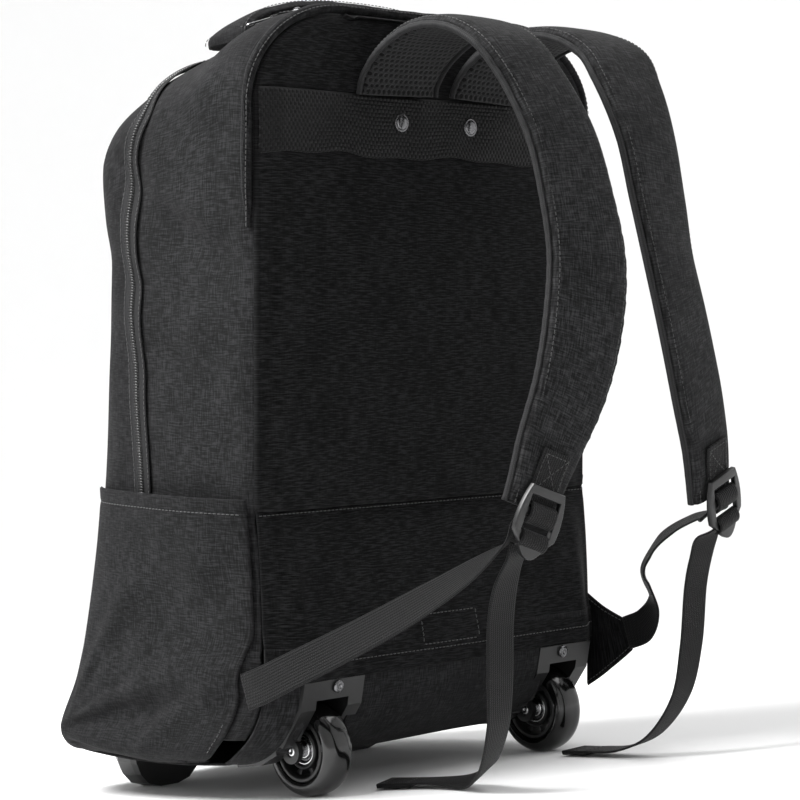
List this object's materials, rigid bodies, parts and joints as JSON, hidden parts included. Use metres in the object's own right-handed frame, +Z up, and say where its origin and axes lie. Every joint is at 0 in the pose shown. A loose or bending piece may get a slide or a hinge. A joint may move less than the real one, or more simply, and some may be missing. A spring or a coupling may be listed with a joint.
{
  "type": "wheeled backpack",
  "caption": "Dark grey melange wheeled backpack standing on two wheels and two front feet, with padded shoulder straps, side pockets and a padded grab handle.",
  "frame": {"origin": "middle of the footprint box, on the floor that the wheels and feet stand on", "axes": "+Z up, +X to the right of someone who faces the shoulder straps, +Y from the straps to the front"},
  "size_m": [0.361, 0.46, 0.5513],
  "materials": {
    "melange_cloth": "dark grey melange woven",
    "panel_cloth": "dark woven, matte",
    "mesh_lining": "black spacer mesh",
    "webbing": "black ribbed webbing",
    "zip_tape": "black zip tape and coil",
    "black_plastic": "satin moulded",
    "tyre_rubber": "glossy",
    "bright_metal": "polished",
    "dark_metal": "polished dark"
  },
  "bodies": {
    "bag": {"anchor_tab_right": "melange_cloth", "axle_left": "bright_metal", "axle_right": "bright_metal", "back_panel": "panel_cloth", "back_welt": "melange_cloth", "base_wrap": "melange_cloth", "buckle_left": "black_plastic", "buckle_right": "black_plastic", "foot_left": "black_plastic", "foot_right": "black_plastic", "front_compartment": "melange_cloth", "front_pocket": "melange_cloth", "front_slider": "dark_metal", "front_zip": "zip_tape", "grab_handle": "melange_cloth", "grab_handle_mesh": "mesh_lining", "lower_back_panel": "panel_cloth", "main_shell": "melange_cloth", "main_slider": "dark_metal", "main_slider_pull": "bright_metal", "main_zip": "zip_tape", "rivet_left": "dark_metal", "rivet_right": "dark_metal", "side_pocket_left": "melange_cloth", "side_pocket_right": "melange_cloth", "strap_left": "melange_cloth", "strap_mesh_left": "mesh_lining", "strap_mesh_right": "mesh_lining", "strap_patch_left": "webbing", "strap_patch_right": "webbing", "strap_right": "melange_cloth", "strap_tail_left": "webbing", "strap_tail_right": "webbing", "top_band": "webbing", "webbing_left": "webbing", "webbing_right": "webbing", "wheel_housing_left": "black_plastic", "wheel_housing_right": "black_plastic"},
    "wheel_left": {"tyre_left": "tyre_rubber", "hub_left": "black_plastic", "bearing_left": "bright_metal"},
    "wheel_right": {"tyre_right": "tyre_rubber", "hub_right": "black_plastic", "bearing_right": "bright_metal"}
  },
  "joints": [
    {"name": "wheel_left_spin", "type": "hinge", "parent": "bag", "child": "wheel_left", "pos_m": [-0.116, -0.00412, 0.032], "axis": [1, 0, 0], "continuous": true},
    {"name": "wheel_right_spin", "type": "hinge", "parent": "bag", "child": "wheel_right", "pos_m": [0.116, -0.00412, 0.032], "axis": [1, 0, 0], "continuous": true}
  ]
}
